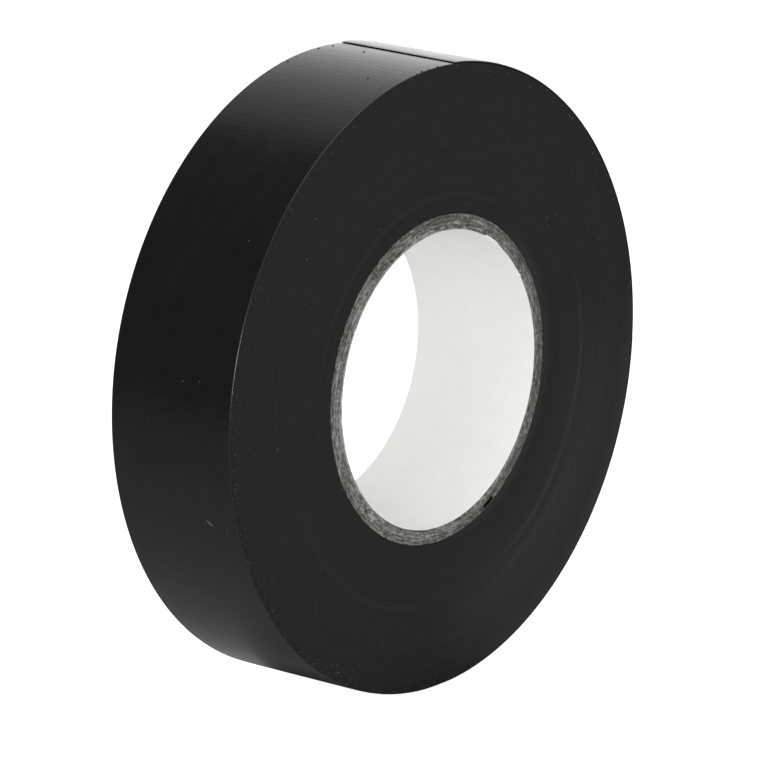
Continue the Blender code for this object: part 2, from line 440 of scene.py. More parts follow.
def film_material(name, ior):
    """Glossy black plasticised vinyl: a broad clear highlight, faint orange peel, a few dust flecks and hairline scuffs."""
    mat, nodes, links, bsdf = material(name)
    uv = uv_mm(nodes, links)
    tone = noise_node(nodes, links, stretched(nodes, links, uv, 0.12, 0.5, 1.0), 1.0, 3.0)
    base = ramp(nodes, links, tone, [(0.3, (0.0028, 0.0028, 0.0029)), (0.7, (0.0052, 0.0051, 0.0052))])
    flecks = specks(nodes, links, uv, 0.55, 0.055, 0.10)
    scuff_v = stretched(nodes, links, uv, 0.35, 6.0, 1.0)
    scuff = ramp(nodes, links, noise_node(nodes, links, scuff_v, 1.0, 4.0, 0.6, 0.6), [(0.70, 0.0), (0.76, 1.0)])
    dust = math_node(nodes, links, "MULTIPLY", scuff, 0.20)
    lit = math_node(nodes, links, "MAXIMUM", flecks, dust)
    links.new(mix_color(nodes, links, math_node(nodes, links, "MULTIPLY", lit, 0.55), base, (0.10, 0.10, 0.098)), bsdf.inputs["Base Color"])
    wear = noise_node(nodes, links, stretched(nodes, links, uv, 0.25, 0.25, 1.0), 1.0, 4.0, 0.6)
    drawn = noise_node(nodes, links, stretched(nodes, links, uv, 1.3, 0.30, 1.0), 1.0, 3.0, 0.6)
    wear = math_node(nodes, links, "MULTIPLY_ADD", wear, 0.5, math_node(nodes, links, "MULTIPLY", drawn, 0.5))
    rough = map_range(nodes, links, wear, 0.30, 0.70, 0.11, 0.23)
    links.new(math_node(nodes, links, "MULTIPLY_ADD", lit, 0.25, rough), bsdf.inputs["Roughness"])
    peel = noise_node(nodes, links, uv, 2.3, 2.0, 0.5)
    grain = noise_node(nodes, links, stretched(nodes, links, uv, 9.0, 14.0, 1.0), 1.0, 2.0, 0.5)
    drag = noise_node(nodes, links, stretched(nodes, links, uv, 1.5, 0.26, 1.0), 1.0, 3.0, 0.55, 0.3)
    first = bump(nodes, links, peel, 0.000012, 0.8)
    first = bump(nodes, links, drag, 0.000030, 0.8, first)
    links.new(bump(nodes, links, grain, 0.0000008, 0.5, first), bsdf.inputs["Normal"])
    bsdf.inputs["IOR"].default_value = ior
    return mat


def sector_of(nodes, links, x, z, centre, full, none):
    """1 within full degrees of the centre angle, 0 beyond none degrees."""
    _, cx, cz = radial(nodes, links, x, z)
    a = math.radians(centre)
    dot = math_node(nodes, links, "MULTIPLY_ADD", cx, math.cos(a), math_node(nodes, links, "MULTIPLY", cz, math.sin(a)))
    return map_range(nodes, links, dot, math.cos(math.radians(none)), math.cos(math.radians(full)), 0.0, 1.0, "SMOOTHSTEP")


def edge_material():
    """The slit edges of the laps: matt black, drawn into fine rings, with paper dust towards the rim and a painted
    sheen in lighter bands and arcs at set radii and angles.
    """
    mat, nodes, links, bsdf = material("vinyl_slit_edge")
    pos, x, y, z = object_mm(nodes, links)
    rings, r = ring_vector(nodes, links, x, y, z, 0.012, 1.35)
    ring_tone = noise_node(nodes, links, rings, 1.0, 4.0, 0.62)
    mottled, _ = ring_vector(nodes, links, x, y, z, 0.35, 1.3)
    mottle = noise_node(nodes, links, mottled, 1.0, 3.0, 0.55)
    both = math_node(nodes, links, "MULTIPLY_ADD", mottle, 0.35, math_node(nodes, links, "MULTIPLY", ring_tone, 0.65))
    base = ramp(nodes, links, both, [(0.34, (0.0064, 0.0064, 0.0065)), (0.50, (0.0082, 0.0081, 0.0081)), (0.66, (0.0104, 0.0102, 0.0101))])
    _, cx, cz = radial(nodes, links, x, z)

    def sector(centre, full, none):
        """1 within full degrees of the centre angle, 0 beyond none degrees."""
        a = math.radians(centre)
        dot = math_node(nodes, links, "MULTIPLY_ADD", cx, math.cos(a), math_node(nodes, links, "MULTIPLY", cz, math.sin(a)))
        return map_range(nodes, links, dot, math.cos(math.radians(none)), math.cos(math.radians(full)), 0.0, 1.0, "SMOOTHSTEP")

    def band(radius, width):
        off = math_node(nodes, links, "ABSOLUTE", math_node(nodes, links, "SUBTRACT", r, radius))
        return map_range(nodes, links, off, 0.0, width, 1.0, 0.0, "SMOOTHSTEP")

    def weigh(value, k, more):
        return math_node(nodes, links, "MULTIPLY_ADD", value, k, more)

    # painted sheen: the colour is made lighter in bands at set radii and angles, standing in for the sheen the slit
    # edges catch from the light
    painted_sheen = math_node(nodes, links, "MULTIPLY", band(28.9, 0.62), sector(-22.0, 26.0, 44.0))
    painted_sheen = weigh(math_node(nodes, links, "MULTIPLY", band(29.1, 0.55), sector(-124.0, 14.0, 30.0)), 0.55, painted_sheen)
    painted_sheen = weigh(math_node(nodes, links, "MULTIPLY", band(21.3, 1.6), sector(-14.0, 48.0, 74.0)), 1.35, painted_sheen)
    painted_sheen = weigh(math_node(nodes, links, "MULTIPLY", band(30.8, 0.9), sector(-55.0, 10.0, 32.0)), 0.7, painted_sheen)
    painted_sheen = weigh(math_node(nodes, links, "MULTIPLY", band(39.2, 2.6), sector(-38.0, 22.0, 50.0)), 1.3, painted_sheen)
    painted_sheen = weigh(math_node(nodes, links, "MULTIPLY", band(32.5, 10.5), sector(-42.0, 14.0, 54.0)), 1.45, painted_sheen)
    painted_sheen = weigh(math_node(nodes, links, "MULTIPLY", band(23.4, 0.5), sector(110.0, 30.0, 60.0)), 0.35, painted_sheen)
    # more painted sheen in fine, patchy ring lines
    fine_v, _ = ring_vector(nodes, links, x, y, z, 0.02, 3.4)
    lines = ramp(nodes, links, noise_node(nodes, links, fine_v, 1.0, 2.0, 0.5), [(0.56, 0.0), (0.72, 1.0)])
    patchy_v, _ = ring_vector(nodes, links, x, y, z, 0.06, 0.10)
    patchy = map_range(nodes, links, noise_node(nodes, links, patchy_v, 1.0, 1.0), 0.36, 0.62, 0.25, 1.0)
    painted_sheen = weigh(math_node(nodes, links, "MULTIPLY", lines, patchy), 0.17, painted_sheen)
    # gain lightens the base colour wherever the painted sheen lies
    gain = math_node(nodes, links, "MULTIPLY_ADD", painted_sheen, 0.62, 1.0)
    scale = nodes.new("ShaderNodeVectorMath")
    scale.operation = "SCALE"
    links.new(base, scale.inputs[0])
    links.new(gain, scale.inputs["Scale"])
    base = scale.outputs[0]
    near_rim = map_range(nodes, links, r, 36.4, 39.6, 0.0, 1.0, "SMOOTHSTEP")
    sparse = specks(nodes, links, pos, 0.55, 0.060, 0.12)
    crowd = specks(nodes, links, pos, 1.35, 0.115, 0.26)
    fine = specks(nodes, links, pos, 2.6, 0.16, 0.22)
    rim_dust = math_node(nodes, links, "MULTIPLY", math_node(nodes, links, "MAXIMUM", crowd, fine), near_rim)
    patch = map_range(nodes, links, noise_node(nodes, links, pos, 0.16, 2.0), 0.46, 0.60, 0.0, 1.0)
    rim_dust = math_node(nodes, links, "MULTIPLY", rim_dust, patch)
    frayed = math_node(nodes, links, "MULTIPLY", map_range(nodes, links, r, 38.3, 39.5, 0.0, 1.0, "SMOOTHSTEP"), sector_of(nodes, links, x, z, -150.0, 50.0, 85.0))
    dust = math_node(nodes, links, "MAXIMUM", sparse, rim_dust)
    crumbly = noise_node(nodes, links, pos, 3.2, 3.0, 0.65)
    dark_bits = math_node(nodes, links, "MULTIPLY", frayed, map_range(nodes, links, crumbly, 0.46, 0.56, 0.0, 0.75))
    base = mix_color(nodes, links, dark_bits, base, (0.0030, 0.0030, 0.0030))
    light_bits = math_node(nodes, links, "MULTIPLY", frayed, map_range(nodes, links, crumbly, 0.42, 0.34, 0.0, 0.30))
    dust = math_node(nodes, links, "MAXIMUM", dust, light_bits)
    links.new(mix_color(nodes, links, math_node(nodes, links, "MULTIPLY", dust, 0.45), base, (0.20, 0.20, 0.195)), bsdf.inputs["Base Color"])
    rough = map_range(nodes, links, both, 0.3, 0.7, 0.52, 0.64)
    links.new(rough, bsdf.inputs["Roughness"])
    grain = noise_node(nodes, links, pos, 7.0, 3.0, 0.6)
    first = bump(nodes, links, grain, 0.000010, 0.5)
    lap, _ = ring_vector(nodes, links, x, y, z, 0.03, 5.5)
    links.new(bump(nodes, links, noise_node(nodes, links, lap, 1.0, 2.0), 0.000012, 0.5, first), bsdf.inputs["Normal"])
    bsdf.inputs["IOR"].default_value = 1.40
    bsdf.inputs["Specular IOR Level"].default_value = 0.22
    return mat


def adhesive_material():
    """The rubber adhesive side: black, a little softer in its shine, with the marks of unwinding."""
    mat, nodes, links, bsdf = material("adhesive")
    uv = uv_mm(nodes, links)
    tone = noise_node(nodes, links, stretched(nodes, links, uv, 0.9, 0.25, 1.0), 1.0, 4.0, 0.6)
    links.new(ramp(nodes, links, tone, [(0.3, (0.0065, 0.0064, 0.0062)), (0.7, (0.0125, 0.0120, 0.0115))]), bsdf.inputs["Base Color"])
    links.new(map_range(nodes, links, tone, 0.3, 0.7, 0.34, 0.52), bsdf.inputs["Roughness"])
    chatter = noise_node(nodes, links, stretched(nodes, links, uv, 3.2, 0.4, 1.0), 1.0, 3.0, 0.6)
    links.new(bump(nodes, links, chatter, 0.00002, 0.6), bsdf.inputs["Normal"])
    bsdf.inputs["IOR"].default_value = 1.42
    return mat


def board_material(name, seed, tint):
    """Grey chipboard cut across: pulp fibres drawn out round the ring, light and dark grains, a few warm flecks."""
    mat, nodes, links, bsdf = material(name)
    pos, x, y, z = object_mm(nodes, links)
    shifted = math_node(nodes, links, "ADD", y, 11.0 * seed)
    streak_v, r = ring_vector(nodes, links, x, shifted, z, 1.05, 2.5, 0.9)
    streak = noise_node(nodes, links, streak_v, 1.0, 2.0, 0.55, 0.6)
    grain_v, _ = ring_vector(nodes, links, x, shifted, z, 3.0, 3.9, 2.2)
    grain = noise_node(nodes, links, grain_v, 1.0, 2.0, 0.55, 0.4)
    patch_v, _ = ring_vector(nodes, links, x, shifted, z, 0.16, 0.7, 0.2)
    patch = noise_node(nodes, links, patch_v, 1.0, 2.0)
    mix = math_node(nodes, links, "MULTIPLY_ADD", grain, 0.32, math_node(nodes, links, "MULTIPLY_ADD", patch, 0.24, math_node(nodes, links, "MULTIPLY", streak, 0.44)))
    dark, mid, light = ([c * k for c in tint] for k in (0.22, 0.85, 2.0))
    base = ramp(nodes, links, mix, [(0.39, dark), (0.50, mid), (0.62, light)])
    _, cx, cz = radial(nodes, links, x, z)
    # the plies are coloured darker towards +X and lighter towards -X, plies 2 to 4 much more so than ply 1
    shade = math_node(nodes, links, "MULTIPLY_ADD", cx, -0.17 if seed > 1 else -0.04, 0.88 if seed > 1 else 0.98)
    scale = nodes.new("ShaderNodeVectorMath")
    scale.operation = "SCALE"
    links.new(base, scale.inputs[0])
    links.new(shade, scale.inputs["Scale"])
    base = scale.outputs[0]
    warm = specks(nodes, links, pos, 1.1, 0.22, 0.10)
    base = mix_color(nodes, links, math_node(nodes, links, "MULTIPLY", warm, 0.45), base, (0.20, 0.15, 0.11))
    links.new(base, bsdf.inputs["Base Color"])
    links.new(map_range(nodes, links, grain, 0.3, 0.7, 0.80, 0.96), bsdf.inputs["Roughness"])
    links.new(bump(nodes, links, mix, 0.00016, 0.8), bsdf.inputs["Normal"])
    bsdf.inputs["Specular IOR Level"].default_value = 0.3
    return mat


def liner_material():
    """Smooth white liner paper, very slightly warm, with a faint pulp cloud."""
    mat, nodes, links, bsdf = material("liner_paper")
    pos, x, y, z = object_mm(nodes, links)
    cloud = noise_node(nodes, links, pos, 0.45, 4.0, 0.55)
    # the paper is toned darker downwards and lighter upwards, only to even out the light inside the bore
    _, cx, cz = radial(nodes, links, x, z)
    toned = math_node(nodes, links, "MULTIPLY_ADD", cz, 0.042, map_range(nodes, links, cloud, 0.3, 0.7, 0.872, 0.898))
    links.new(combine(nodes, links, toned, math_node(nodes, links, "MULTIPLY", toned, 0.998), math_node(nodes, links, "MULTIPLY", toned, 0.994)), bsdf.inputs["Base Color"])
    fibre = noise_node(nodes, links, stretched(nodes, links, pos, 1.0, 2.4, 1.0), 3.2, 3.0, 0.6)
    links.new(map_range(nodes, links, fibre, 0.3, 0.7, 0.62, 0.74), bsdf.inputs["Roughness"])
    links.new(bump(nodes, links, fibre, 0.00002, 0.4), bsdf.inputs["Normal"])
    bsdf.inputs["Specular IOR Level"].default_value = 0.35
    return mat


FILM, RIM = film_material("vinyl_film", 1.34), film_material("vinyl_rim", 1.5)
EDGE, GLUED = edge_material(), adhesive_material()
BOARD = [board_material(f"grey_board_{n + 1}", n + 1, t) for n, t in enumerate(
    [(0.150, 0.148, 0.145), (0.150, 0.148, 0.145), (0.135, 0.134, 0.132), (0.120, 0.119, 0.117)])]
PAPER = liner_material()


def shadow_material():
    """Painted shade: a near-black colour put on the walls of the narrow open seam, where shade falls."""
    mat, nodes, links, bsdf = material("painted_seam_shade")
    pos, x, y, z = object_mm(nodes, links)
    tone = noise_node(nodes, links, pos, 3.0, 3.0, 0.6)
    links.new(ramp(nodes, links, tone, [(0.35, (0.0022, 0.0022, 0.0022)), (0.65, (0.0060, 0.0058, 0.0056))]), bsdf.inputs["Base Color"])
    links.new(map_range(nodes, links, tone, 0.3, 0.7, 0.78, 0.95), bsdf.inputs["Roughness"])
    links.new(bump(nodes, links, tone, 0.00004, 0.6), bsdf.inputs["Normal"])
    bsdf.inputs["Specular IOR Level"].default_value = 0.12
    return mat


SHADOW = shadow_material()


# ---------------------------------------------------------------- the wound laps

COLS = 192
LAPS = 103


def wound_tape():
    b = Builder()
    phis = BASE + 360.0 * np.arange(COLS + 1) / COLS
    top = body_radius(phis)
    press = flat_depth(top, phis)
    film = {}
    for i, y in enumerate(FILM_ROWS):
        film[i] = b.add(film_point(phis, np.full_like(phis, y), False))
    normals = [film_normal(phis, np.full_like(phis, y), False) for y in FILM_ROWS]

    def side_point(r, phi, y):
        depth = np.maximum(0.0, body_radius(phi) - r)
        y = np.sign(y) * np.minimum(np.abs(y) + proud(r, phi), HALF - 0.004)
        r = r - flat_depth(body_radius(phi), phi) * np.exp(-depth / 1.5)
        a = np.radians(phi)
        return np.stack([r * np.cos(a), np.broadcast_to(y, r.shape), r * np.sin(a)], -1)

    sides = {}
    for s in (-1, 1):
        # the rounded corner of the outermost lap
        turn0 = (phis - BASE) / 360.0
        face_y = HALF - edge_recess(turn0 - 0.5 + (30.0 if s > 0 else 0.0))
        skin = top - FILM_INSET - ripple(phis, np.full_like(phis, s * 9.3))
        bend = 0.01 + (ROUND - 0.01) * smooth(turn0 / 0.06)
        rim = [b.add(side_point(skin - bend * drop, phis, s * (face_y - bend * inset))) for drop, inset in CORNER]
        rows = {}
        for i in range(2 * LAPS + 1):
            cols = phis if i < 2 else phis[:-1]
            turn = (cols - BASE) / 360.0 - i / 2.0
            wander = 0.010 * noise(turn * 9.0, s * 2.0, 0.0, seed=71) * smooth(-turn)
            if i % 2:
                r = spiral(turn) + 0.01 * smooth((turn + 0.5) / 0.4) + wander * 0.4
                y = s * (HALF - edge_recess(turn + (30.0 if s > 0 else 0.0)))
            else:
                outer = smooth(turn / 0.06) if i == 0 else 0.0 * turn
                r = spiral(turn) + wander
                if i == 0:
                    r = skin - bend
                groove = 0.012 + 0.008 * noise(turn * 2.3, s * 5.0, 0.0, seed=73)
                recess = edge_recess(turn - 0.5 + (30.0 if s > 0 else 0.0))
                inner = edge_recess(turn + 0.5 + (30.0 if s > 0 else 0.0))
                y = s * (HALF - (recess if i == 0 else np.maximum(recess, inner) + groove))
            rows[i] = b.add(side_point(r, cols, y))
        inner_phis = phis[:-1]
        a = np.radians(inner_phis)
        lip = b.add(np.stack([21.08 * np.cos(a), np.full_like(a, s * (HALF - 0.10)), 21.08 * np.sin(a)], -1))
        bore = b.add(np.stack([20.935 * np.cos(a), np.full_like(a, s * (HALF - 0.14)), 20.935 * np.sin(a)], -1))
        sides[s] = (rim, rows, lip, bore)

        def at(i, j, rows=rows):
            if i < 2:
                return rows[i] + j
            return rows[i] + j if j < COLS else rows[i - 2] + 0

        def quad(ids, mat, s=s):
            ids = ids if s < 0 else ids[::-1]
            out = []
            for k in ids:
                if k not in out:
                    out.append(k)
            b.face(out, mat)

        for j in range(COLS):
            # from the film's last row over the corner to the slit edge
            fi = film[0] if s < 0 else film[len(FILM_ROWS) - 1]
            chain = [fi] + rim
            for p, q in zip(chain, chain[1:]):
                quad([p + j, p + j + 1, q + j + 1, q + j], 3 if p != fi else 0)
            quad([rim[-1] + j, rim[-1] + j + 1, at(0, j + 1), at(0, j)], 3)
            for i in range(2 * LAPS):
                quad([at(i, j), at(i, j + 1), at(i + 1, j + 1), at(i + 1, j)], 1)
            n = (j + 1) % COLS
            quad([at(2 * LAPS, j), at(2 * LAPS, j + 1), lip + n, lip + j], 1)
            quad([lip + j, lip + n, bore + n, bore + j], 1)
        # the inner end of the tape, where the first lap starts
        quad([at(2 * LAPS, COLS), at(2 * LAPS - 1, 0), at(2 * LAPS, 0), lip + 0], 2)

    for j in range(COLS):
        for i in range(len(FILM_ROWS) - 1):
            cells = [(i, j), (i, j + 1), (i + 1, j + 1), (i + 1, j)]
            cells = cells[::-1]
            b.face([film[p] + q for p, q in cells], 0,
                   [normals[p][q] for p, q in cells],
                   [arc_uv(phis[q], FILM_ROWS[p]) for p, q in cells])
        n = (j + 1) % COLS
        b.face([sides[-1][3] + j, sides[-1][3] + n, sides[1][3] + n, sides[1][3] + j], 2)

    # the step that the free end grows out of
    last = len(FILM_ROWS) - 1
    for i in range(last):
        b.face([film[i] + COLS, film[i + 1] + COLS, film[i + 1], film[i]], 2)
    for s, fi in ((-1, film[0]), (1, film[last])):
        rim, rows = sides[s][0], sides[s][1]
        ids = [fi + COLS, fi] + rim + [rows[0], rows[1] + COLS, rows[0] + COLS] + [k + COLS for k in rim[::-1]]
        b.face(ids if s < 0 else ids[::-1], 2)

    def fallback(p):
        angle = math.degrees(math.atan2(p[2], p[0]))
        angle = angle if angle >= BASE else angle + 360.0
        return arc_uv(angle, p[1])

    obj = b.make("wound_tape", [FILM, EDGE, GLUED, RIM], flat_angle=50.0, uv_default=fallback)
    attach(obj, "roll")
    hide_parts("tape_wound_laps")
    return obj


# ---------------------------------------------------------------- the free end

def strip(name, phi_at, count):
    """One closed length of tape. phi_at(u, y) is the angle along the tape at a share u of the length."""
    b = Builder()
    ys = np.array(FILM_ROWS)
    last = len(ys) - 1
    us = np.arange(count + 1) / count
    outer, outer_n, phi_grid = [], [], []
    for u in us:
        phi = phi_at(u, ys)
        outer.append(b.add(film_point(phi, ys, True)))
        outer_n.append(film_normal(phi, ys, True))
        phi_grid.append(phi)
    inner, corner = [], {-1: [], 1: []}
    for u, phi in zip(us, phi_grid):
        r = lap_radius(phi) - PITCH + 0.004 * noise(phi * 0.7 / 2.0, ys / 2.0, 1.0, seed=61)
        a = np.radians(phi)
        inner.append(b.add(np.stack([r * np.cos(a), ys, r * np.sin(a)], -1)))
    for s in (-1, 1):
        for u in us:
            phi = phi_at(u, np.array([s * HALF]))
            a = np.radians(phi)[0]
            turn = (phi[0] - BASE) / 360.0
            y = s * (HALF - float(edge_recess(turn - 0.5 + (30.0 if s > 0 else 0.0))))
            top = float(lap_radius(phi)[0])
            skin = top - FILM_INSET - float(ripple(phi, np.array([s * 9.3]))[0]) - thinned(phi, np.array([s * HALF]))[0]
            pts = [(skin - ROUND * drop, y - s * ROUND * inset) for drop, inset in CORNER]
            pts += [(skin - ROUND, y), (top - PITCH + 0.03, y), (top - PITCH + 0.008, y - s * 0.03)]
            corner[s].append(b.add([(r * math.cos(a), yy, r * math.sin(a)) for r, yy in pts]))
    for c in range(count):
        for i in range(last):
            cells = [(i, c), (i + 1, c), (i + 1, c + 1), (i, c + 1)]
            b.face([outer[q] + p for p, q in cells], 0, [outer_n[q][p] for p, q in cells],
                   [arc_uv(phi_grid[q][p], ys[p]) for p, q in cells])
            cells = cells[::-1]
            b.face([inner[q] + p for p, q in cells], 2, None, [arc_uv(phi_grid[q][p], ys[p]) for p, q in cells])
        for s in (-1, 1):
            i = 0 if s < 0 else last
            chain = [[outer[q] + i] + [corner[s][q] + k for k in range(7)] + [inner[q] + i] for q in (c, c + 1)]
            for k in range(8):
                ids = [chain[0][k], chain[1][k], chain[1][k + 1], chain[0][k + 1]]
                f0, f1 = float(phi_grid[c][i]), float(phi_grid[c + 1][i])
                uvs = [arc_uv(f0, 10.0 + k * 0.05), arc_uv(f1, 10.0 + k * 0.05), arc_uv(f1, 10.05 + k * 0.05), arc_uv(f0, 10.05 + k * 0.05)]
                if s > 0:
                    ids, uvs = ids[::-1], uvs[::-1]
                b.face(ids, 0 if k == 0 else 3 if k < 5 else 1, None, uvs)
    for q, first in ((0, True), (count, False)):
        for i in range(last):
            ids = [outer[q] + i, inner[q] + i, inner[q] + i + 1, outer[q] + i + 1]
            b.face(ids if first else ids[::-1], 1)
        for s in (-1, 1):
            i = 0 if s < 0 else last
            ids = [outer[q] + i] + [corner[s][q] + k for k in range(7)] + [inner[q] + i]
            b.face(ids if (s < 0) == first else ids[::-1], 1)

    def fallback(p):
        angle = math.degrees(math.atan2(p[2], p[0])) + 360.0
        return arc_uv(angle, p[1])

    obj = b.make(name, [FILM, EDGE, GLUED, RIM], flat_angle=50.0, uv_default=fallback)
    return obj


def free_end():
    base = 360.0 + BASE
    half = LINK_DEG / 2
    root = strip("free_end_01", lambda u, y: base + half * u + 0 * y, 4)
    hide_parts("tape_tail_01")
    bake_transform(root)
    for k in range(2, LINKS + 1):
        start = base + half + LINK_DEG * (k - 2)
        piece = strip(f"free_end_{k:02d}", lambda u, y, start=start: start + LINK_DEG * u + 0 * y, 8)
        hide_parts(f"tape_tail_{k:02d}")
        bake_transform(piece)
    start = base + half + LINK_DEG * (LINKS - 1)

    def to_cut(u, y):
        cut = 360.0 + SEEN_FRONT + (SEEN_BACK - SEEN_FRONT) * (y + HALF) / WIDTH
        return start + (cut - start) * u

    tip = strip("free_end_13", to_cut, 6)
    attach(tip, f"tail_link_{LINKS:02d}")


# ---------------------------------------------------------------- the core

CORE_COLS = 432


def ring_strip(name, inside, outside, seam, mats, wall_rows, end_rows, seed, fray, bore=False, wall_mat=0, end_mat=0, cap_mat=0, dent=0.0):
    """One ply wound round once with a helical joint. Its cut ends are torn a little by the slitting knife."""
    b = Builder()
    front, gap, turn = seam
    mean = (inside + outside) / 2
    ys = np.linspace(-1.0, 1.0, wall_rows)
    rs = np.linspace(0.0, 1.0, end_rows)
    share = np.arange(CORE_COLS + 1) / CORE_COLS
    gap_deg = math.degrees(gap / mean)

    def place(u, t, r01):
        """u round the ring, t from -1 (front) to 1 (back), r01 from inside to outside."""
        u, t, r01 = np.broadcast_arrays(u, t, r01)
        y0 = t * HALF
        theta = np.radians(front + turn * (y0 + HALF) / WIDTH + gap_deg / 2 + u * (360.0 - gap_deg))
        r = inside + (outside - inside) * r01
        squeeze = 0.17 * np.cos(theta + math.radians(20.0)) - 0.04        # the bore is a little out of round
        r = r + squeeze * np.clip((CORE_RADIUS - r) / (CORE_RADIUS - BORE_RADIUS), 0.0, 1.0)
        if dent:                  # the outer plies shrink away from each other at the open seam
            along = np.degrees(theta) - SEAMS[-1][0] - turn * (y0 + HALF) / WIDTH
            along = (along + 180.0) % 360.0 - 180.0
            r = r - dent * r01 * smooth((3.1 - np.abs(along)) / 0.9)
        cx, cz = np.cos(theta), np.sin(theta)
        coarse = layered(cx * 20 * 0.55, r * 3.2 + 7.0 * np.sign(t), cz * 20 * 0.55, seed=seed, octaves=3, gain=0.6)
        pits = smooth((noise(cx * 20 * 0.9, r * 4.0 + 3.0 * np.sign(t), cz * 20 * 0.9, seed=seed + 5) - 0.45) / 0.35)
        recess = fray * (0.55 + 0.45 * coarse + 1.3 * pits) * np.clip((np.abs(t) - 0.985) / 0.015, 0, 1)
        y = np.sign(t) * np.maximum(0.0, np.abs(y0) - np.maximum(recess, 0.0))
        if bore:
            wave = 0.012 * layered(cx * 5.0, y0 / 6.0, cz * 5.0, seed=seed + 9, octaves=2) * (1 - r01)
            r = r + 0.012 * (1 - r01) + wave
        where = np.degrees(theta) % 360.0
        nick = 0.20 * smooth((where - 49.0) / 6.0) * (1 - smooth((where - 60.5) / 1.2)) + 0.12 * np.exp(-((where - 32.6) / 0.9) ** 2)
        r = r + nick * (1 - smooth((r - BORE_RADIUS) / 0.9)) * np.clip((-t - 0.965) / 0.03, 0, 1)
        torn = 0.05 * smooth(noise(cx * 20 * 1.2, 3.0 * np.sign(t), cz * 20 * 1.2, seed=seed + 13) / 0.6)
        r = r + (1 - r01) * torn * np.clip((np.abs(t) - 0.97) / 0.03, 0, 1) * min(1.0, (outside - inside) / 0.4)
        return np.stack([r * cx, y, r * cz], -1)

    wall_in = [b.add(place(share, t, 0.0)) for t in ys]
    wall_out = [b.add(place(share, t, 1.0)) for t in ys]
    ends = {}
    for s in (-1, 1):
        ends[s] = [wall_in[0 if s < 0 else -1]] + [b.add(place(share, float(s), r)) for r in rs[1:-1]] + [wall_out[0 if s < 0 else -1]]
    for j in range(CORE_COLS):
        for i in range(wall_rows - 1):
            b.face([wall_in[i] + j, wall_in[i] + j + 1, wall_in[i + 1] + j + 1, wall_in[i + 1] + j], wall_mat)
            b.face([wall_out[i] + j, wall_out[i + 1] + j, wall_out[i + 1] + j + 1, wall_out[i] + j + 1])
        for s in (-1, 1):
            for k in range(len(rs) - 1):
                ids = [ends[s][k] + j, ends[s][k + 1] + j, ends[s][k + 1] + j + 1, ends[s][k] + j + 1]
                b.face(ids if s < 0 else ids[::-1], end_mat)
    for j, first in ((0, True), (CORE_COLS, False)):
        for i in range(wall_rows - 1):
            ids = [wall_in[i] + j, wall_in[i + 1] + j, wall_out[i + 1] + j, wall_out[i] + j]
            b.face(ids if first else ids[::-1], cap_mat)
        for s in (-1, 1):
            if len(rs) > 2:
                ids = [e + j for e in ends[s]]
                b.face(ids if (s < 0) != first else ids[::-1], cap_mat)
    obj = b.make(name, mats, flat_angle=48.0)
    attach(obj, "roll")
    return obj


def core():
    radius = BORE_RADIUS
    liner = ring_strip("core_liner_paper", radius, radius + LINER, SEAMS[0], [PAPER, BOARD[0]], 33, 3, 200, 0.022, bore=True, end_mat=1)
    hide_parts("core_liner")
    radius += LINER
    ply = (CORE_RADIUS - radius) / PLIES - GLUE
    for n in range(PLIES):
        radius += GLUE
        last = n == PLIES - 1
        thick = ply * (1.0 - SKIN) if last else ply
        # the last ply's cut ends at the open seam and the skin's inner wall take SHADOW, the painted seam shade
        piece = ring_strip(f"core_board_{n + 1}", radius, radius + thick, SEAMS[n + 1], [BOARD[n], SHADOW], 21, 6, 300 + 40 * n, 0.060, cap_mat=1 if last else 0, dent=0.13 if n == PLIES - 2 else 0.0)
        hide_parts(f"core_ply_{n + 1}")
        if last:
            skin = ring_strip("core_board_skin", radius + thick, radius + ply, SKIN_SEAM, [BOARD[n], SHADOW], 21, 3, 300 + 40 * n, 0.060, wall_mat=1)
        radius += ply


# ---------------------------------------------------------------- crumbs and dust

def fleck_material(name, low, high, rough):
    mat, nodes, links, bsdf = material(name)
    pos, x, y, z = object_mm(nodes, links)
    tone = noise_node(nodes, links, pos, 1.7, 3.0, 0.6)
    links.new(ramp(nodes, links, tone, [(0.35, low), (0.65, high)]), bsdf.inputs["Base Color"])
    links.new(map_range(nodes, links, tone, 0.3, 0.7, rough - 0.08, rough + 0.08), bsdf.inputs["Roughness"])
    links.new(bump(nodes, links, noise_node(nodes, links, pos, 14.0, 2.0), 0.00001, 0.5), bsdf.inputs["Normal"])
    bsdf.inputs["IOR"].default_value = 1.4
    return mat


def fleck(b, centre, normal, along, size, height, rng, long=1.0):
    """One irregular grain lying on a surface, sunk a little into it."""
    c, n = np.array(centre, float), np.array(normal, float)
    t = np.array(along, float)
    t = t - n * (t @ n)
    t /= np.linalg.norm(t)
    u = np.cross(n, t)
    sides = 7
    rings = []
    for level, share in ((-0.25, 0.9), (0.35, 1.0), (0.85, 0.55)):
        pts = []
        for k in range(sides):
            a = 2 * math.pi * (k + 0.3 * level) / sides
            k_r = size / 2 * share * (0.75 + 0.45 * rng.random())
            pts.append(c + t * math.cos(a) * k_r * long + u * math.sin(a) * k_r / math.sqrt(long) + n * height * (level + 0.15 * (rng.random() - 0.5)))
        rings.append(b.add(pts))
    for lo, hi in zip(rings, rings[1:]):
        for k in range(sides):
            m = (k + 1) % sides
            b.face([lo + k, lo + m, hi + m, hi + k])
    b.face([rings[0] + k for k in range(sides)][::-1])
    b.face([rings[-1] + k for k in range(sides)])


def on_film(deg, y):
    phi = deg if deg >= BASE else deg + 360.0
    p = film_point(np.array([phi]), np.array([float(y)]), False)[0]
    a = math.radians(deg)
    return p, np.array([math.cos(a), 0.0, math.sin(a)]), np.array([-math.sin(a), 0.0, math.cos(a)])


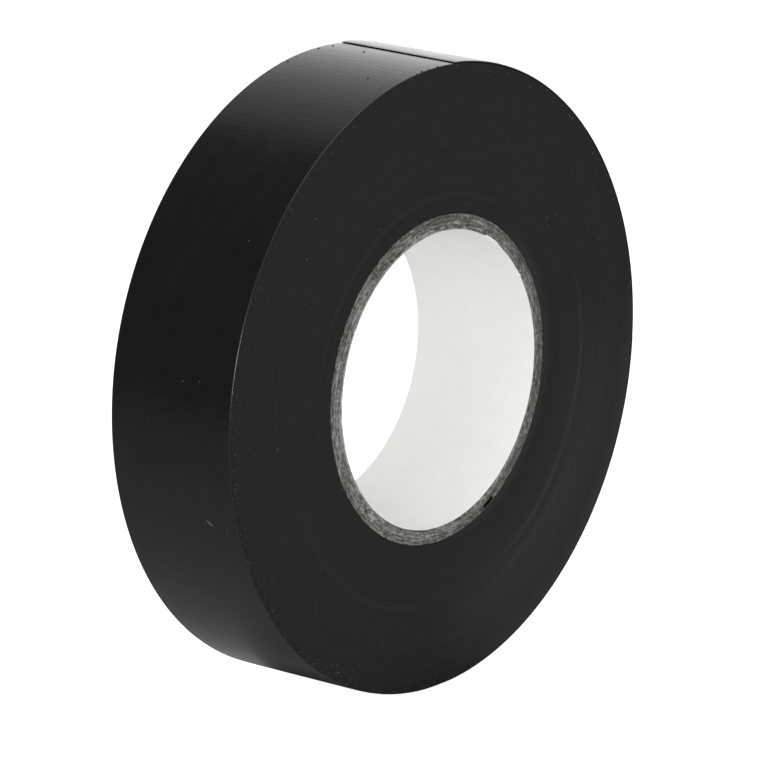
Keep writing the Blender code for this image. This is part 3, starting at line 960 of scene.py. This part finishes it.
def flecks():
    rng = np.random.default_rng(64)
    crumbs = Builder()
    for deg, y, size in [(88.6, 8.4, 0.20), (89.1, 3.1, 0.24), (101.5, -4.6, 0.20), (94.5, -9.2, 0.24), (92.8, -9.32, 0.20), (90.4, -9.36, 0.22),
                         (100.5, 8.8, 0.22), (91.9, 8.8, 0.20), (96.2, -9.25, 0.16), (97.9, 8.9, 0.14), (143.0, 8.7, 0.18), (201.0, 8.9, 0.18),
                         (262.0, 4.0, 0.14), (310.0, -6.0, 0.16), (334.0, 2.5, 0.14), (121.0, 6.3, 0.10), (219.0, -7.4, 0.16)]:
        p, n, t = on_film(deg, y)
        fleck(crumbs, p, n, t, 1.2 * size, 0.42 * size, rng, 1.0 + 0.6 * rng.random())
    obj = crumbs.make("adhesive_crumbs", [fleck_material("dried_adhesive", (0.006, 0.006, 0.006), (0.014, 0.0135, 0.013), 0.55)], flat_angle=40.0)
    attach(obj, "roll")

    dust = Builder()
    spots = [(170.2, -1.6, 0.14, 1.0), (169.7, -4.2, 0.13, 1.2), (143.9, -6.1, 0.15, 1.0),
             (-164.1, -5.4, 0.08, 2.0), (178.0, 3.4, 0.09, 1.0), (-150.0, 1.5, 0.09, 1.3), (-131.0, -3.0, 0.10, 1.0), (-60.0, 4.0, 0.1, 1.2),
             (-32.0, -3.0, 0.1, 1.0), (-17.0, 6.0, 0.1, 1.6), (130.0, 2.0, 0.08, 1.0), (196.0, -7.6, 0.10, 1.2), (209.0, 5.0, 0.08, 1.0)]
    for deg, y, size, long in spots:
        p, n, t = on_film(deg, y)
        fleck(dust, p, n, t, size, 0.03, rng, long)
    for deg, y, size in [(-164.85, -4.72, 0.22), (-164.55, -5.0, 0.30), (-164.3, -5.22, 0.20)]:       # a small scuff across the film
        p, n, t = on_film(deg, y)
        fleck(dust, p, n, np.array([0.0, -1.0, 0.0]) + 0.45 * t, size, 0.03, rng, 2.2)

    def on_side(deg, r, s, size, long=1.0):
        a = math.radians(deg)
        turn = (r - BODY_START) / PITCH
        y = s * min(HALF - float(edge_recess(turn + (30.0 if s > 0 else 0.0))) + float(proud(r, deg)), HALF - 0.02)
        fleck(dust, (r * math.cos(a), y - s * 0.004, r * math.sin(a)), (0.0, float(s), 0.0), (-math.sin(a), 0.0, math.cos(a)), size, 0.022, rng, long)

    for deg, r, size in [(37.5, 27.3, 0.17), (141.2, 32.5, 0.15), (62.2, 38.5, 0.17), (-121.4, 37.9, 0.17), (-120.6, 38.6, 0.15), (-123.2, 38.1, 0.13),
                         (-124.5, 38.7, 0.16), (70.0, 39.0, 0.16), (47.0, 39.1, 0.15), (118.0, 24.2, 0.12), (150.0, 29.6, 0.11), (-140.5, 29.9, 0.13),
                         (-138.0, 34.6, 0.11), (96.0, 33.0, 0.09), (20.0, 34.5, 0.09), (-20.0, 36.4, 0.10)]:
        on_side(deg, r, -1, size)
    for s in (-1, 1):
        for _ in range(150):          # most of it clings close to the rim
            r = 39.55 - abs(rng.normal()) * 0.8
            deg = rng.choice([55.0, 20.0, -122.0, 165.0, -170.0, 135.0]) + rng.normal() * 22.0
            if 22.0 < r < 39.5:
                on_side(deg, r, s, 0.04 + 0.075 * rng.random() ** 2, 1.0 + rng.random())
        for _ in range(70):
            on_side(rng.uniform(-180.0, 180.0), math.sqrt(rng.uniform(22.0 ** 2, 39.3 ** 2)), s, 0.03 + 0.055 * rng.random() ** 2, 1.0 + rng.random())
    obj = dust.make("slitting_dust", [fleck_material("paper_dust", (0.070, 0.069, 0.068), (0.22, 0.217, 0.21), 0.85)], flat_angle=40.0)
    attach(obj, "roll")


wound_tape()
free_end()
core()
flecks()


# ---------------------------------------------------------------- floor, light and camera

FLOOR_Z = -REST_DEPTH * MM


def floor():
    b = Builder()
    radius, around, rings = 360.0, 96, 12
    middle_point = b.add([(0.0, 0.0, 0.0)])
    circles = [b.add([(radius * (k / rings) ** 1.6 * math.cos(2 * math.pi * j / around), radius * (k / rings) ** 1.6 * math.sin(2 * math.pi * j / around), 0.0)
                      for j in range(around)]) for k in range(1, rings + 1)]
    for j in range(around):
        n = (j + 1) % around
        b.face([middle_point, circles[0] + j, circles[0] + n])
        for k in range(rings - 1):
            b.face([circles[k] + j, circles[k + 1] + j, circles[k + 1] + n, circles[k] + n])
    mat, nodes, links, bsdf = material("studio_floor")
    pos, x, y, z = object_mm(nodes, links)
    cloud = noise_node(nodes, links, pos, 0.004, 2.0)
    far, _, _ = radial(nodes, links, x, y)
    painted_contact_shadow = map_range(nodes, links, far, 12.0, 19.0, 0.42, 1.0, "SMOOTHSTEP")          # painted shadow: the floor is coloured darker under the roll, only for the tone the film mirrors
    # painted light fall-off: the floor is also coloured darker from 70 mm out to its edge, softening where its
    # reflection ends in the film
    far = math_node(nodes, links, "MULTIPLY", painted_contact_shadow, map_range(nodes, links, far, 70.0, 355.0, 1.0, 0.60))
    far = math_node(nodes, links, "MULTIPLY", far, map_range(nodes, links, cloud, 0.3, 0.7, 0.585, 0.605))
    links.new(combine(nodes, links, far, far, far), bsdf.inputs["Base Color"])
    bsdf.inputs["Roughness"].default_value = 0.9
    bsdf.inputs["Specular IOR Level"].default_value = 0.0
    bsdf.inputs["Emission Color"].default_value = (1.0, 1.0, 1.0, 1.0)
    seen = nodes.new("ShaderNodeLightPath")
    links.new(math_node(nodes, links, "MULTIPLY", seen.outputs["Is Camera Ray"], 0.96), bsdf.inputs["Emission Strength"])
    obj = b.make("studio_floor", [mat])
    obj.location = (0.0, 0.0, FLOOR_Z)


def direction(azimuth, elevation):
    a, e = math.radians(azimuth), math.radians(elevation)
    return Vector((math.sin(a) * math.cos(e), -math.cos(a) * math.cos(e), math.sin(e)))


def sky():
    """A soft studio: a large bright backdrop behind the roll, a wide overhead diffuser, dim walls elsewhere."""
    world = bpy.data.worlds.new("studio")
    bpy.context.scene.world = world
    world.use_nodes = True
    nodes, links = world.node_tree.nodes, world.node_tree.links
    nodes.clear()
    out = nodes.new("ShaderNodeOutputWorld")
    tc = nodes.new("ShaderNodeTexCoord")

    def lobe(azimuth, elevation, stops):
        dot = nodes.new("ShaderNodeVectorMath")
        dot.operation = "DOT_PRODUCT"
        dot.inputs[1].default_value = direction(azimuth, elevation)
        links.new(tc.outputs["Generated"], dot.inputs[0])
        t = map_range(nodes, links, dot.outputs["Value"], -1.0, 1.0, 0.0, 1.0)
        col = ramp(nodes, links, t, [((d + 1) / 2, v / 2) for d, v in stops])
        return math_node(nodes, links, "MULTIPLY", col, 2.0)

    back = lobe(130.0, 18.0, [(-1.0, 0.34), (0.60, 0.31), (0.66, 0.33), (0.70, 0.46), (0.755, 0.78), (0.822, 0.93), (0.877, 1.05), (0.925, 1.20), (0.96, 1.30), (0.985, 1.45), (1.0, 1.62)])
    over = lobe(0.0, 90.0, [(0.0, 0.0), (0.80, 0.0), (0.90, 1.0), (1.0, 1.2)])
    front = lobe(-20.0, 8.0, [(-1.0, 0.0), (-0.15, 0.0), (0.35, 0.68), (1.0, 0.74)])
    low = lobe(130.0, -9.0, [(-1.0, 0.0), (0.90, 0.0), (0.965, 0.36), (1.0, 0.46)])
    over = math_node(nodes, links, "ADD", over, low)
    light = math_node(nodes, links, "ADD", math_node(nodes, links, "ADD", back, over), front)
    glow = nodes.new("ShaderNodeBackground")
    links.new(light, glow.inputs["Strength"])
    plain = nodes.new("ShaderNodeBackground")
    plain.inputs["Strength"].default_value = 1.0
    plain.inputs["Color"].default_value = (1.0, 1.0, 1.0, 1.0)
    seen = nodes.new("ShaderNodeLightPath")
    mix = nodes.new("ShaderNodeMixShader")
    links.new(seen.outputs["Is Camera Ray"], mix.inputs[0])
    links.new(glow.outputs[0], mix.inputs[1])
    links.new(plain.outputs[0], mix.inputs[2])
    links.new(mix.outputs[0], out.inputs[0])


def softbox(name, azimuth, elevation, distance, size, power):
    lamp = bpy.data.lights.new(name, "AREA")
    lamp.shape = "SQUARE"
    lamp.size = size
    lamp.energy = power
    obj = bpy.data.objects.new(name, lamp)
    bpy.context.scene.collection.objects.link(obj)
    d = direction(azimuth, elevation)
    obj.location = d * distance
    obj.rotation_euler = d.to_track_quat("Z", "Y").to_euler()


def camera():
    azimuth, elevation, distance = -50.536, 15.141, 0.78164
    focal_px, centre = 6246.5, (380.16, 367.20)
    a = math.radians(azimuth)
    back = direction(azimuth, elevation)
    right = Vector((math.cos(a), math.sin(a), 0.0))
    up = back.cross(right)
    target = right * ((384.0 - centre[0]) / focal_px * distance) - up * ((384.0 - centre[1]) / focal_px * distance)
    data = bpy.data.cameras.new("camera")
    data.sensor_width = 36.0
    data.lens = focal_px * 36.0 / 768.0
    data.clip_start, data.clip_end = 0.01, 20.0
    obj = bpy.data.objects.new("camera", data)
    bpy.context.scene.collection.objects.link(obj)
    obj.location = back * distance
    obj.rotation_euler = (obj.location - target).to_track_quat("Z", "Y").to_euler()
    bpy.context.scene.camera = obj


floor()
sky()
softbox("front_softbox", -36.0, 6.5, 1.2, 0.34, 8.0)
camera()
bpy.context.scene.view_settings.view_transform = "Standard"
